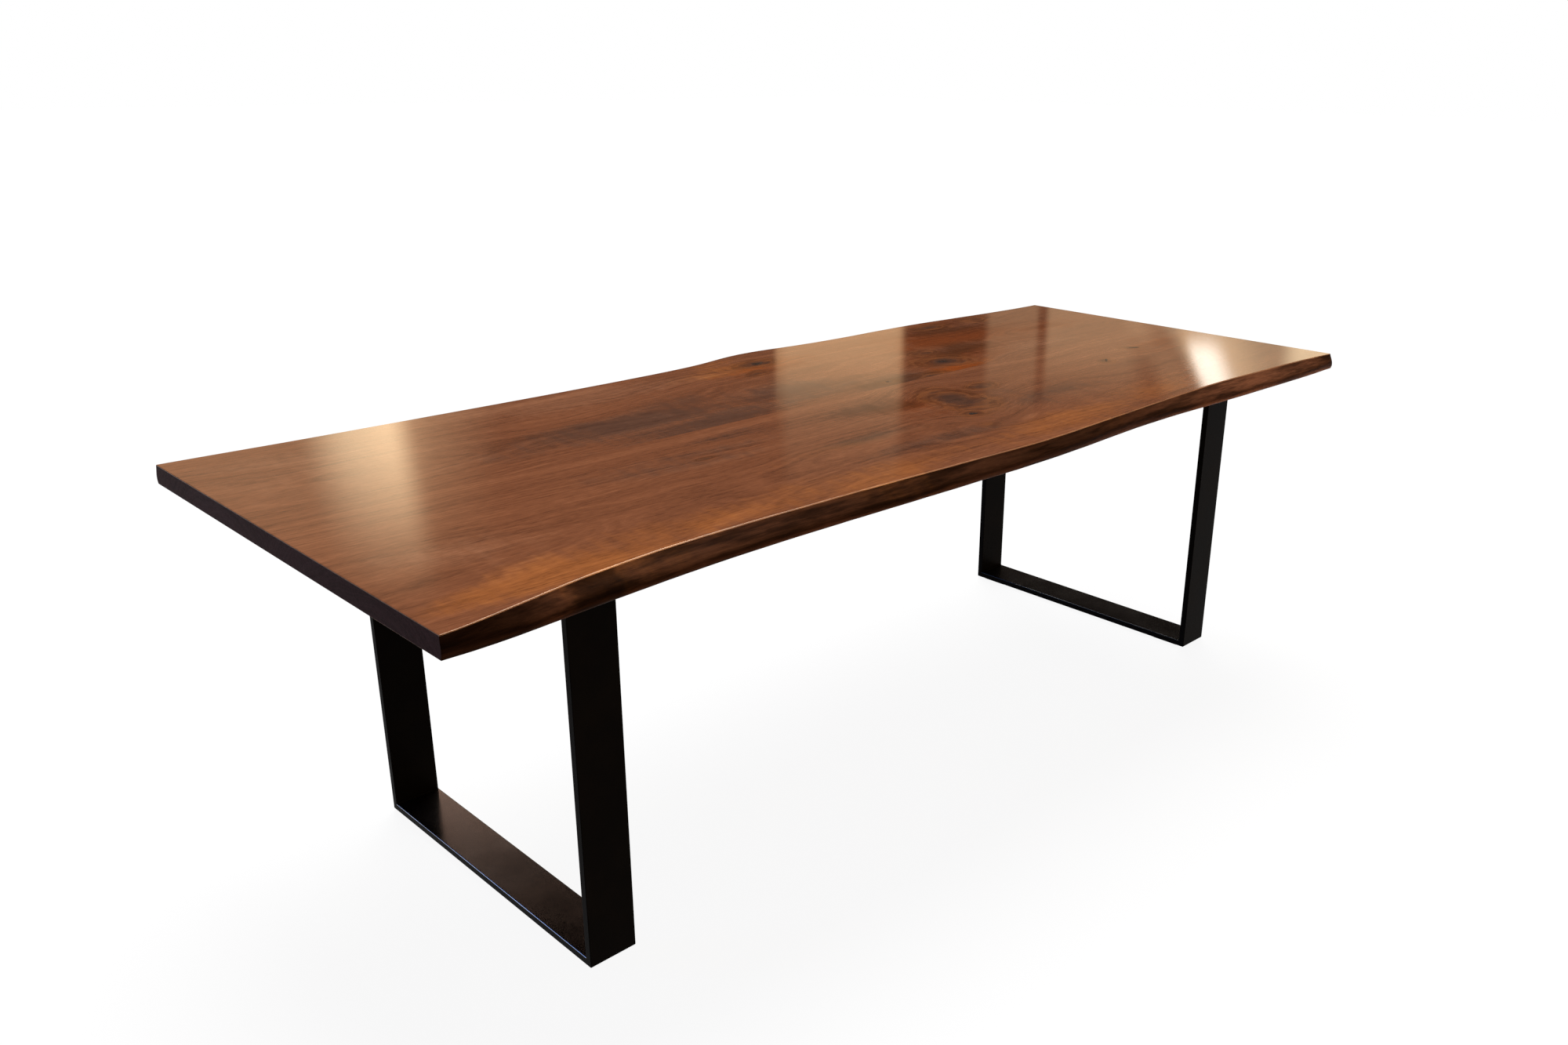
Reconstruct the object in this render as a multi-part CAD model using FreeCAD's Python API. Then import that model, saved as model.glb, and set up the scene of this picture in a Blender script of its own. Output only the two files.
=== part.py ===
import FreeCAD, Part
import math
import os
from FreeCAD import Vector

# Live-edge dining table, in millimetres with +Z up. The origin is on the floor, below the middle of
# the top. +X runs along the top to its right end, and the front live edge faces -Y.
# Two walnut slabs are glued edge to edge. Two leg frames of flat steel bar are bolted up under them.

# Top
table_height = 760.0
top_length = 2520.0
top_width = 1058.0  # between the outermost points of the two live edges
seam_y = 24.0  # the front slab is the wider one
top_thickness = 38.0
bulge_height = 11.0  # the live edges reach out furthest this high above the underside
bulge_tuck = 3.0  # and draw in again by this much at the underside
shoulder_share = 0.42  # part of the slope that is still to go halfway up from the bulge

# Live edges: share of the top's length from its left end, then how far the upper arris and the
# bulge below it stay inside the outermost line.
rear_edge = (
    (0.00, 19.0, 11.0),
    (0.05, 25.0, 14.0),
    (0.11, 33.0, 19.0),
    (0.19, 39.0, 21.0),
    (0.29, 45.0, 26.0),
    (0.38, 46.0, 30.0),
    (0.45, 42.0, 31.0),
    (0.50, 30.0, 22.0),
    (0.54, 11.0, 4.0),
    (0.57, 9.0, 0.0),
    (0.61, 21.0, 9.0),
    (0.66, 32.0, 17.0),
    (0.78, 35.0, 18.0),
    (0.88, 56.0, 41.0),
    (0.96, 72.0, 60.0),
    (1.00, 74.0, 64.0),
)
front_edge = (
    (0.00, 1.0, 2.0),
    (0.03, 12.0, 0.0),
    (0.07, 32.0, 7.0),
    (0.12, 52.0, 17.0),
    (0.19, 62.0, 27.0),
    (0.27, 59.0, 28.0),
    (0.36, 50.0, 22.0),
    (0.46, 36.0, 16.0),
    (0.52, 29.0, 14.0),
    (0.57, 32.0, 18.0),
    (0.64, 40.0, 27.0),
    (0.71, 48.0, 29.0),
    (0.79, 54.0, 22.0),
    (0.88, 46.0, 16.0),
    (0.95, 36.0, 14.0),
    (1.00, 22.0, 15.0),
)

# Knots whose hearts have fallen out and are filled with black epoxy: share of the top's length from
# its left end, share of half its width from its middle, half length, half width, and turn in degrees.
rear_knots = (
    (0.536, 0.767, 17.0, 9.0, 8.0),
    (0.678, 0.215, 14.0, 8.0, -14.0),
    (0.575, 0.109, 6.0, 3.5, 20.0),
)
front_knots = (
    (0.544, 0.505, 11.0, 7.0, -10.0),
    (0.802, 0.294, 15.0, 3.0, 38.0),
    (0.875, 0.220, 14.0, 3.5, -32.0),
)
knot_depth = 9.0
knot_points = 8  # on the outline of a knot
knot_lobes = 3
knot_unevenness = 0.16  # of the outline, as a share of its radius

# Loose tenons in the glued seam between the slabs
tenon_length = 50.0  # across the seam, half in each slab
tenon_width = 22.0
tenon_thickness = 8.0
tenon_count = 12
tenon_end_inset = 110.0
tenon_clearance = 0.1

# Leg frames of flat bar, mitred and welded at the foot
end_overhang = 278.0  # from the end of the top to the near side of a leg
leg_centre_y = -26.0  # the legs stand under the middle of the average width
frame_width = 709.0
bar_width = 93.0
bar_thickness = 15.0
bar_edge_radius = 1.5
corner_radius = 3.0  # outside the mitres, where the welds are ground off
plate_thickness = 8.0
weld_size = 4.0
weld_crown = 0.12  # how full a weld's face is, as a share of its size
weld_end_gap = 3.0

# Nylon glides under the foot bars
glide_thickness = 3.0
glide_length = 70.0
glide_side_gap = 6.0  # from the sides of the foot bar
glide_end_gap = 25.0  # from the ends of the foot bar

# Bolts from each top plate into threaded inserts in the slabs
bolt_diameter = 8.0
bolt_head_diameter = 14.0
bolt_crown_diameter = 8.4
bolt_head_height = 4.4
bolt_key_size = 5.0  # across the flats of the hexagon socket
bolt_key_depth = 2.6
bolt_side_distance = 20.0  # from a row of bolts to the side of the plate
bolt_post_distance = 82.0  # from the outer bolts to the inner face of a post
bolt_inner_offset = 110.0  # from the leg's centre to the inner bolts
slot_clearance = 1.0
slot_travel = 13.0  # lets the slabs swell and shrink across the grain
washer_diameter = 24.0
washer_clearance = 0.4
washer_thickness = 2.0
insert_diameter = 12.0
insert_length = 18.0

# Steel channels let into the underside between the legs, to keep the top flat
channel_spacing = 660.0
channel_end_inset = 152.0  # from the outermost lines of the live edges
channel_width = 38.0
channel_depth = 13.0
channel_wall = 3.0
channel_clearance = 0.5
screw_diameter = 6.0
screw_head_diameter = 11.0
screw_crown_diameter = 6.6
screw_head_height = 3.5
screw_key_size = 4.0
screw_key_depth = 2.0
screw_end_distance = 60.0  # from the outer screws to the ends of a channel
screw_inner_offset = 110.0  # from the middle of a channel to the inner screws
screw_washer_diameter = 16.0
screw_washer_thickness = 1.6
screw_insert_diameter = 9.0
screw_insert_length = 12.0

# Fits that both kinds of fastener share
thread_fit = 0.1  # between a bolt and the bore of its insert
insert_fit = 0.1  # between an insert and its hole
hole_run_out = 3.0  # blind holes go on this far past their inserts

# Worked out from the sizes above
underside = table_height - top_thickness
plate_bottom = underside - plate_thickness
half_length = top_length / 2
half_width = top_width / 2
leg_x = half_length - end_overhang - bar_width / 2
foot_top = glide_thickness + bar_thickness
post_inner = frame_width / 2 - bar_thickness
bolt_row = bar_width / 2 - bolt_side_distance
bolt_outer_offset = post_inner - bolt_post_distance
channel_length = top_width - 2 * channel_end_inset
screw_outer_offset = channel_length / 2 - screw_end_distance
groove_depth = channel_depth + channel_clearance
insert_seat = underside + channel_wall + channel_clearance
tenon_middle = underside + groove_depth + (top_thickness - groove_depth) / 2

ALONG = Vector(1, 0, 0)
ACROSS = Vector(0, 1, 0)
UP = Vector(0, 0, 1)
DOWN = Vector(0, 0, -1)


def centred_box(length, width, height, middle_x, middle_y, bottom):
    corner = Vector(middle_x - length / 2, middle_y - width / 2, bottom)
    return Part.makeBox(length, width, height, corner)


def prism(points, direction):
    return Part.Face(Part.makePolygon(points + [points[0]])).extrude(direction)


# Slabs


def live_edge_line(side, rows, height, share, tuck):
    """One spline along a live edge. Share is 0 at the upper arris and 1 at the bulge."""
    points = []
    for station, arris_inset, bulge_inset in rows:
        inset = arris_inset + (bulge_inset - arris_inset) * share + tuck
        x = -half_length + top_length * station
        points.append(Vector(x, side * (half_width - inset), height))
    curve = Part.BSplineCurve()
    curve.interpolate(points)
    return Part.Wire(curve.toShape())


def live_edge_skin(side, rows):
    """The live edge as one face: out from the arris over the shoulder to the bulge, and in again."""
    shoulder = underside + (bulge_height + top_thickness) / 2
    lines = [
        live_edge_line(side, rows, underside, 1, bulge_tuck),
        live_edge_line(side, rows, underside + bulge_height, 1, 0),
        live_edge_line(side, rows, shoulder, 1 - shoulder_share, 0),
        live_edge_line(side, rows, table_height, 0, 0),
    ]
    return Part.makeLoft(lines, False, False).Faces[0]


def flat_face(border):
    """The flat face from one border of a live edge straight back to the seam."""
    start, end = (vertex.Point for vertex in border.Vertexes)
    back_start = Vector(start.x, seam_y, start.z)
    back_end = Vector(end.x, seam_y, end.z)
    lines = [
        Part.makeLine(start, back_start),
        Part.makeLine(back_start, back_end),
        Part.makeLine(back_end, end),
    ]
    return Part.Face(Part.Wire(Part.__sortEdges__([border, *lines])))


def seam_face():
    corners = [
        Vector(-half_length, seam_y, underside),
        Vector(half_length, seam_y, underside),
        Vector(half_length, seam_y, table_height),
        Vector(-half_length, seam_y, table_height),
    ]
    return Part.Face(Part.makePolygon(corners + [corners[0]]))


def plain_slab(side, rows):
    """A closed slab: live edge, top, underside, two sawn ends and the seam."""
    skin = live_edge_skin(side, rows)
    shell = Part.Shell([skin, seam_face(), *(flat_face(border) for border in skin.Edges)])
    shell.sewShape()
    solid = Part.Solid(shell)
    if solid.Volume < 0:
        solid.reverse()
    return solid


def tenon_places():
    run = top_length - 2 * tenon_end_inset
    return [-run / 2 + run * n / (tenon_count - 1) for n in range(tenon_count)]


def tenon(middle_x, grow):
    """A loose tenon with round sides, lying across the seam. Grow makes it into its mortise."""
    radius = tenon_thickness / 2 + grow
    length = tenon_length + 2 * grow
    flat = tenon_width - tenon_thickness
    body = centred_box(flat, length, 2 * radius, middle_x, seam_y, tenon_middle - radius)
    for side in (-1, 1):
        start = Vector(middle_x + side * flat / 2, seam_y - length / 2, tenon_middle)
        body = body.fuse(Part.makeCylinder(radius, length, start, ACROSS))
    return body.removeSplitter()


def knot_plug(side, station, share, half_long, half_wide, turn):
    """An uneven oval plug, flush with the top."""
    points = []
    for n in range(knot_points):
        angle = 2 * math.pi * n / knot_points
        uneven = 1 + knot_unevenness * math.sin(knot_lobes * angle + turn)
        points.append(Vector(half_long * uneven * math.cos(angle), half_wide * uneven * math.sin(angle), 0))
    outline = Part.BSplineCurve()
    outline.interpolate(points, PeriodicFlag=True)
    plug = Part.Face(Part.Wire(outline.toShape())).extrude(UP * knot_depth)
    plug.rotate(Vector(0, 0, 0), UP, turn)
    x = -half_length + top_length * station
    plug.translate(Vector(x, side * half_width * share, table_height - knot_depth))
    return plug


def joined_slab(side, rows, plugs):
    """A slab with its mortises, channel grooves, insert holes and knot pockets cut."""
    cuts = [tenon(x, tenon_clearance) for x in tenon_places()]
    cuts += [channel(x, channel_clearance) for x in channel_middles.values()]
    cuts += [leg_insert_hole(place) for place in leg_bolt_places if side * (place.y - seam_y) > 0]
    cuts += [screw_insert_hole(place) for place in all_screw_places if side * (place.y - seam_y) > 0]
    return plain_slab(side, rows).cut(cuts + plugs)


# Leg frames, each drawn about its own middle at x = 0, y = 0


def edges_along(shape, direction):
    return [e for e in shape.Edges if abs(e.tangentAt(e.FirstParameter).dot(direction)) > 0.99]


def leg_loop():
    """The U of flat bar before it is parted at the mitres, with the mill's rounded edges along it."""
    corner = Vector(-bar_width / 2, -frame_width / 2, glide_thickness)
    height = plate_bottom - glide_thickness
    outer = Part.makeBox(bar_width, frame_width, height, corner)
    feet = [e for e in edges_along(outer, ALONG) if e.CenterOfMass.z < foot_top]
    outer = outer.makeFillet(corner_radius, feet)
    inset = Vector(0, bar_thickness, bar_thickness)
    inner = Part.makeBox(bar_width, frame_width - 2 * bar_thickness, height, corner + inset)
    loop = outer.cut(inner)
    rims = [e for e in loop.Edges if e.BoundBox.XLength < bar_edge_radius]
    arrises = [e for e in rims if e.CenterOfMass.z < plate_bottom - bar_edge_radius]
    return loop.makeFillet(bar_edge_radius, arrises)


def outside_mitre(side):
    """All the space outside one mitre, which slopes up and inward from the foot's outer corner."""
    outer = side * frame_width / 2
    low = glide_thickness
    meeting = low + frame_width / 2
    high = meeting + table_height
    outline = [(outer, low), (0, meeting), (0, high), (2 * outer, high), (2 * outer, low)]
    return prism([Vector(-bar_width, y, z) for y, z in outline], ALONG * (2 * bar_width))


def foot_bar():
    return leg_loop().cut([outside_mitre(-1), outside_mitre(1)])


def post(side):
    """An upright, mitred at its foot and sawn square under the top plate."""
    return leg_loop().common(outside_mitre(side))


def bolt_places():
    columns = (-bolt_outer_offset, -bolt_inner_offset, bolt_inner_offset, bolt_outer_offset)
    return [Vector(x, y, 0) for x in (-bolt_row, bolt_row) for y in columns]


def bolt_slot(place):
    """A slot across the grain, through the top plate."""
    width = bolt_diameter + slot_clearance
    cutter = centred_box(width, slot_travel, plate_thickness, place.x, place.y, plate_bottom)
    for side in (-1, 1):
        end = Vector(place.x, place.y + side * slot_travel / 2, plate_bottom)
        cutter = cutter.fuse(Part.makeCylinder(width / 2, plate_thickness, end))
    return cutter


def top_plate():
    plate = centred_box(bar_width, frame_width, plate_thickness, 0, 0, plate_bottom)
    plate = plate.makeFillet(bar_edge_radius, edges_along(plate, ACROSS))
    return plate.cut([bolt_slot(place) for place in bolt_places()])


def weld_bead(side, height, upward):
    """A fillet weld with a full face, in the corner between a post and a bar."""
    length = bar_width - 2 * weld_end_gap
    corner = Vector(-length / 2, side * post_inner, height)
    on_bar = corner - ACROSS * (side * weld_size)
    on_post = corner + UP * (upward * weld_size)
    crown = (on_bar + on_post) * 0.5 + (on_bar + on_post - corner * 2) * weld_crown
    face_line = Part.Arc(on_bar, crown, on_post).toShape()
    outline = [Part.makeLine(corner, on_bar), face_line, Part.makeLine(on_post, corner)]
    return Part.Face(Part.Wire(outline)).extrude(ALONG * length)


def welds():
    low = [weld_bead(side, foot_top, 1) for side in (-1, 1)]
    high = [weld_bead(side, plate_bottom, -1) for side in (-1, 1)]
    return low + high


def glides():
    width = bar_width - 2 * glide_side_gap
    middle = frame_width / 2 - glide_end_gap - glide_length / 2
    return [centred_box(width, glide_length, glide_thickness, 0, side * middle, 0) for side in (-1, 1)]


# Fasteners


def ring(outer, inner, height, base):
    return Part.makeCylinder(outer / 2, height, base).cut(Part.makeCylinder(inner / 2, height, base))


def button_head_bolt(seat, diameter, length, head_diameter, crown_diameter, head_height, key_size, key_depth):
    """A bolt that points up, with its head hanging below the seat."""
    shank = Part.makeCylinder(diameter / 2, length, seat)
    head = Part.makeCone(head_diameter / 2, crown_diameter / 2, head_height, seat, DOWN)
    radius = key_size / math.sqrt(3)
    corners = []
    for n in range(6):
        angle = math.pi * n / 3
        corners.append(seat + Vector(radius * math.cos(angle), radius * math.sin(angle), -head_height))
    return shank.fuse(head).removeSplitter().cut(prism(corners, UP * key_depth))


def leg_bolts():
    seat = UP * (plate_bottom - washer_thickness)
    length = washer_thickness + plate_thickness + insert_length
    head = (bolt_head_diameter, bolt_crown_diameter, bolt_head_height, bolt_key_size, bolt_key_depth)
    return [button_head_bolt(place + seat, bolt_diameter, length, *head) for place in bolt_places()]


def leg_washers():
    base = UP * (plate_bottom - washer_thickness)
    hole = bolt_diameter + washer_clearance
    return [ring(washer_diameter, hole, washer_thickness, place + base) for place in bolt_places()]


def leg_inserts():
    bore = bolt_diameter + thread_fit
    return [ring(insert_diameter, bore, insert_length, place + UP * underside) for place in bolt_places()]


def leg_insert_hole(place):
    radius = (insert_diameter + insert_fit) / 2
    return Part.makeCylinder(radius, insert_length + hole_run_out, place + UP * underside)


# Channels


def channel(middle_x, grow):
    """A channel with its web flush with the underside. Grow makes it into its groove."""
    half = channel_width / 2 + grow
    inner = channel_width / 2 - channel_wall - grow
    web = channel_wall + grow
    lip = channel_depth + grow
    outline = [(-half, 0), (half, 0), (half, lip), (inner, lip)]
    outline += [(inner, web), (-inner, web), (-inner, lip), (-half, lip)]
    length = channel_length + 2 * grow
    start = Vector(middle_x, leg_centre_y - length / 2, underside)
    return prism([start + Vector(x, 0, z) for x, z in outline], ACROSS * length)


def screw_places(middle_x):
    offsets = (-screw_outer_offset, -screw_inner_offset, screw_inner_offset, screw_outer_offset)
    return [Vector(middle_x, leg_centre_y + offset, 0) for offset in offsets]


def drilled_channel(middle_x):
    radius = (screw_diameter + slot_clearance) / 2
    holes = [Part.makeCylinder(radius, channel_wall, p + UP * underside) for p in screw_places(middle_x)]
    return channel(middle_x, 0).cut(holes)


def channel_screws():
    seat = UP * (underside - screw_washer_thickness)
    length = screw_washer_thickness + channel_wall + channel_clearance + screw_insert_length
    head = (screw_head_diameter, screw_crown_diameter, screw_head_height, screw_key_size, screw_key_depth)
    return [button_head_bolt(place + seat, screw_diameter, length, *head) for place in all_screw_places]


def channel_washers():
    base = UP * (underside - screw_washer_thickness)
    hole = screw_diameter + washer_clearance
    thickness = screw_washer_thickness
    return [ring(screw_washer_diameter, hole, thickness, place + base) for place in all_screw_places]


def channel_inserts():
    base = UP * insert_seat
    bore = screw_diameter + thread_fit
    return [ring(screw_insert_diameter, bore, screw_insert_length, p + base) for p in all_screw_places]


def screw_insert_hole(place):
    radius = (screw_insert_diameter + insert_fit) / 2
    depth = insert_seat - underside + screw_insert_length + hole_run_out
    return Part.makeCylinder(radius, depth, place + UP * underside)


# Assembly

leg_middles = {"left": Vector(-leg_x, leg_centre_y, 0), "right": Vector(leg_x, leg_centre_y, 0)}
channel_middles = {"left": -channel_spacing / 2, "right": channel_spacing / 2}
leg_bolt_places = [place + middle for middle in leg_middles.values() for place in bolt_places()]
all_screw_places = [place for x in channel_middles.values() for place in screw_places(x)]
rear_plugs = [knot_plug(1, *knot) for knot in rear_knots]
front_plugs = [knot_plug(-1, *knot) for knot in front_knots]

nodes = {
    "front_slab": [joined_slab(-1, front_edge, front_plugs)],
    "rear_slab": [joined_slab(1, rear_edge, rear_plugs)],
    "seam_tenons": [tenon(x, 0) for x in tenon_places()],
    "knot_fills": rear_plugs + front_plugs,
    "channel_screws": channel_screws(),
    "channel_washers": channel_washers(),
    "channel_inserts": channel_inserts(),
}
for name, x in channel_middles.items():
    nodes[f"{name}_stiffener_channel"] = [drilled_channel(x)]

leg_pieces = {
    "front_post": [post(-1)],
    "rear_post": [post(1)],
    "foot_bar": [foot_bar()],
    "top_plate": [top_plate()],
    "welds": welds(),
    "glides": glides(),
    "bolts": leg_bolts(),
    "washers": leg_washers(),
    "inserts": leg_inserts(),
}
for name, middle in leg_middles.items():
    for piece, shapes in leg_pieces.items():
        nodes[f"{name}_leg_{piece}"] = [shape.translated(middle) for shape in shapes]

os.makedirs("parts", exist_ok=True)
for name, shapes in nodes.items():
    whole = shapes[0] if len(shapes) == 1 else Part.makeCompound(shapes)
    whole.exportStep(f"parts/{name}.step")
    box = whole.BoundBox
    size = f"{box.XLength:.1f} x {box.YLength:.1f} x {box.ZLength:.1f} mm"
    print(f"{name}: {len(whole.Solids)} solids, valid {whole.isValid()}, {size}")
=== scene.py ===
# %% [markdown]
# # A live-edge dining table
# This lesson dresses a dining table that already exists as exact solids. Two walnut slabs are glued edge
# to edge, and two black steel loops are bolted up under them. The solids give every size and place.
# What is left for Blender is what the eye enjoys: the figure of the walnut, its lacquer with the windows
# of the studio in it, the ripple of the welds and the heads of the bolts.

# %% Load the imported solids
import math

import bmesh
import bpy
from mathutils import Matrix, Vector, noise
from mathutils.bvhtree import BVHTree


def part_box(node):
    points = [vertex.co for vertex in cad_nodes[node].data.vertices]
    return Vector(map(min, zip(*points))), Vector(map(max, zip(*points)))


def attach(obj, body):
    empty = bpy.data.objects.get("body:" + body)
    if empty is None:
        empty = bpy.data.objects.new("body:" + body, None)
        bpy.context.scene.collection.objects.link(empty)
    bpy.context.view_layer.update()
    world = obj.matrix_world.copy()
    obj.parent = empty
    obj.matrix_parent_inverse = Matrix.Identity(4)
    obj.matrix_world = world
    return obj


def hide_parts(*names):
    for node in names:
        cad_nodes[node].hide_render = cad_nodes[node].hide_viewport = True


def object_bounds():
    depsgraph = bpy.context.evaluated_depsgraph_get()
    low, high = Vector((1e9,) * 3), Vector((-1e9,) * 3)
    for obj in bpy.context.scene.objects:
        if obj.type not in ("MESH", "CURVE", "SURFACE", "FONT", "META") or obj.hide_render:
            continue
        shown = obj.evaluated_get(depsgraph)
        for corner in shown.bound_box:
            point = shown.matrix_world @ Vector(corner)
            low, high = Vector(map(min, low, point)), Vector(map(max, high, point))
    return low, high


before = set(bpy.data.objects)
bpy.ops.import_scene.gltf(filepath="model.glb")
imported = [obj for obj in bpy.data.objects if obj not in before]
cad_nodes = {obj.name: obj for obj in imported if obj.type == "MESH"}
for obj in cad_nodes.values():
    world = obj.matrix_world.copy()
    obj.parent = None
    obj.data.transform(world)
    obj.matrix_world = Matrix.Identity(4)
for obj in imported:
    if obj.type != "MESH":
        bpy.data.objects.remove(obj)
cad_box = [list(corner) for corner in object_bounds()]
table_height = cad_box[1][2]
print(f"{len(cad_nodes)} solids' nodes, box {cad_box}")

# %% [markdown]
# ## Camera
# A photograph of a table is taken by someone who stands off one corner and looks down a little. A camera
# can be placed by eye, but four table corners and eight leg corners seen in the picture pin it down much
# better. The numbers here come from such a fit. The lens is given as a focal length in image pixels. The
# picture is trimmed off centre, so the lens is shifted a little, as on a view camera.

# %% Place the camera
picture_width = 2000
sensor_width = 36.0  # mm, for the whole width of the picture
focal_pixels = 1660.97
lens_axis_offset = (88.25, 21.92)  # from the picture's middle, to the right and down
camera_place = Vector((-1.96947, -1.97975, 1.45919))
camera_yaw = math.radians(45.1876)  # from +Y towards +X
camera_pitch = math.radians(20.2004)  # below the horizon
camera_roll = math.radians(0.5859)


def add_object(name, data):
    """Puts a camera, a lamp or a mesh into the scene."""
    thing = bpy.data.objects.new(name, data)
    bpy.context.scene.collection.objects.link(thing)
    return thing


camera_data = bpy.data.cameras.new("camera")
camera_data.sensor_width = sensor_width
camera_data.lens = focal_pixels * sensor_width / picture_width
camera_data.shift_x = -lens_axis_offset[0] / picture_width
camera_data.shift_y = lens_axis_offset[1] / picture_width
camera = add_object("camera", camera_data)
tilt = Matrix.Rotation(math.pi / 2 - camera_pitch, 4, "X")
turn = Matrix.Rotation(-camera_yaw, 4, "Z")
roll = Matrix.Rotation(camera_roll, 4, "Z")
camera.matrix_world = Matrix.Translation(camera_place) @ turn @ tilt @ roll
bpy.context.scene.camera = camera
bpy.context.scene.view_settings.view_transform = "Standard"
print(f"camera: {camera_data.lens:.2f} mm lens")

# %% [markdown]
# ## A helper to wire nodes
# Every finish below is a tree of nodes. Written out in full, each node takes four lines, and the idea
# gets lost. This helper adds a node, sets it up and joins its inputs in one line. An input can be a plain
# number or another node's output, and both are passed in the same way.

# %% Wire nodes in one line
class Wiring:
    """Adds nodes to one tree and joins them. Most methods give back the new node's output."""

    def __init__(self, tree):
        self.tree = tree

    def feed(self, socket, value):
        if isinstance(value, bpy.types.NodeSocket):
            self.tree.links.new(value, socket)
        else:
            socket.default_value = value

    def add(self, kind, inputs=None, **settings):
        """A node of any kind, given back as a whole."""
        node = self.tree.nodes.new(kind)
        for name, value in settings.items():
            setattr(node, name, value)
        for key, value in (inputs or {}).items():
            self.feed(node.inputs[key], value)
        return node

    def math(self, operation, *values):
        node = self.add("ShaderNodeMath", dict(enumerate(values)), operation=operation)
        return node.outputs[0]

    def vector(self, operation, *values):
        node = self.add("ShaderNodeVectorMath", dict(enumerate(values)), operation=operation)
        return node.outputs[0]

    def join(self, x, y, z):
        return self.add("ShaderNodeCombineXYZ", {0: x, 1: y, 2: z}).outputs[0]

    def split(self, place):
        return self.add("ShaderNodeSeparateXYZ", {0: place}).outputs

    def noise(self, place, detail, roughness=0.5):
        inputs = {"Vector": place, "Scale": 1.0, "Detail": detail, "Roughness": roughness}
        return self.add("ShaderNodeTexNoise", inputs).outputs[0]

    def stretched_noise(self, place, stretch, detail=2.0, roughness=0.5):
        return self.noise(self.vector("MULTIPLY", place, stretch), detail, roughness)

    def pushed(self, value, push, strength):
        """A value that a noise pushes up and down."""
        centred = self.math("SUBTRACT", push, 0.5)
        return self.math("MULTIPLY_ADD", centred, strength, value)

    def span(self, value, low, high, to_low=0.0, to_high=1.0):
        """A smooth step from one level to another while a value goes from low to high."""
        inputs = {0: value, 1: low, 2: high, 3: to_low, 4: to_high}
        return self.add("ShaderNodeMapRange", inputs, interpolation_type="SMOOTHSTEP").outputs[0]

    def mix(self, factor, first, second, how="MIX"):
        inputs = {0: factor, 6: first, 7: second}
        return self.add("ShaderNodeMix", inputs, data_type="RGBA", blend_type=how).outputs[2]

    def ramp(self, factor, stops):
        node = self.add("ShaderNodeValToRGB", {0: factor})
        steps = node.color_ramp.elements
        while len(steps) < len(stops):
            steps.new(0.5)
        for step, (position, colour) in zip(steps, stops):
            step.position = position
            step.color = (*colour, 1.0)
        return node.outputs[0]


def new_finish(name):
    """An empty material with a Principled shader, and the wiring to work on it."""
    finish = bpy.data.materials.new(name)
    finish.use_nodes = True
    wires = Wiring(finish.node_tree)
    shader = finish.node_tree.nodes["Principled BSDF"]
    place = wires.add("ShaderNodeTexCoord").outputs["Object"]
    return finish, wires, shader, place


print("node helper ready")

# %% [markdown]
# ## Studio floor
# The table stands on a white sweep, a floor that runs on into a white wall. A white floor would throw a
# lot of light back up, and the dark sides of this table show that little came back. So the floor is grey
# for the light that bounces, with a white glow for what the camera and shiny steel see of it. The grey
# part still takes the table's shadow. From below the floor is clear, so the underside can be looked at.

# %% Lay the floor
floor_half = 40.0
floor_level = -0.0004  # just under the glides
floor_grey = (0.10, 0.10, 0.10, 1.0)
floor_glow = 0.925
white = (1.0, 1.0, 1.0, 1.0)


def seen_directly(wires):
    """Two values: 1 for the camera's own rays, and 1 for rays that left a shiny or clear surface."""
    path = wires.add("ShaderNodeLightPath").outputs
    shiny = wires.math("MAXIMUM", path["Is Glossy Ray"], path["Is Transmission Ray"])
    return path["Is Camera Ray"], shiny


def white_sweep():
    """White to the camera and to shiny steel, grey for the light, and clear from below."""
    finish, wires, shader, _ = new_finish("white_sweep")
    shader.inputs["Base Color"].default_value = floor_grey
    shader.inputs["Specular IOR Level"].default_value = 0.0
    shader.inputs["Emission Color"].default_value = white
    seen = wires.math("MAXIMUM", *seen_directly(wires))
    wires.feed(shader.inputs["Emission Strength"], wires.math("MULTIPLY", seen, floor_glow))
    clear = wires.add("ShaderNodeBsdfTransparent").outputs[0]
    from_below = wires.add("ShaderNodeNewGeometry").outputs["Backfacing"]
    both = wires.add("ShaderNodeMixShader", {0: from_below, 1: shader.outputs[0], 2: clear}).outputs[0]
    wires.feed(finish.node_tree.nodes["Material Output"].inputs["Surface"], both)
    return finish


corner_signs = [(-1, -1), (1, -1), (1, 1), (-1, 1)]
floor_corners = [(x * floor_half, y * floor_half, floor_level) for x, y in corner_signs]
floor_mesh = bpy.data.meshes.new("floor")
floor_mesh.from_pydata(floor_corners, [], [(0, 1, 2, 3)])
floor_mesh.materials.append(white_sweep())
floor = add_object("floor", floor_mesh)
print(f"floor: {2 * floor_half} m square")

# %% [markdown]
# ## Lamp
# One wide soft lamp gives the plain light, so that a colour looks about as it is written. A sun lamp
# with a very wide disc does this evenly over the whole floor, like a ceiling of cloth. It leans over from
# behind the table, so the top is bright, the edges that face the camera stay dark, and the rounded corner
# between them catches a thin line of light, which its finish adds to with a painted highlight.

# %% Hang the soft lamp
lamp_lean = math.radians(30)  # from straight above
lamp_bearing = math.radians(43)  # from +Y towards +X, where the lamp stands
lamp_disc = math.radians(36)
lamp_energy = 3.2

soft_lamp = bpy.data.lights.new("soft_lamp", "SUN")
soft_lamp.energy = lamp_energy
soft_lamp.angle = lamp_disc
soft_lamp_object = add_object("soft_lamp", soft_lamp)
soft_lamp_object.rotation_euler = (-lamp_lean, 0, -lamp_bearing)
print(f"soft lamp: {lamp_energy} W per square metre")

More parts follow.
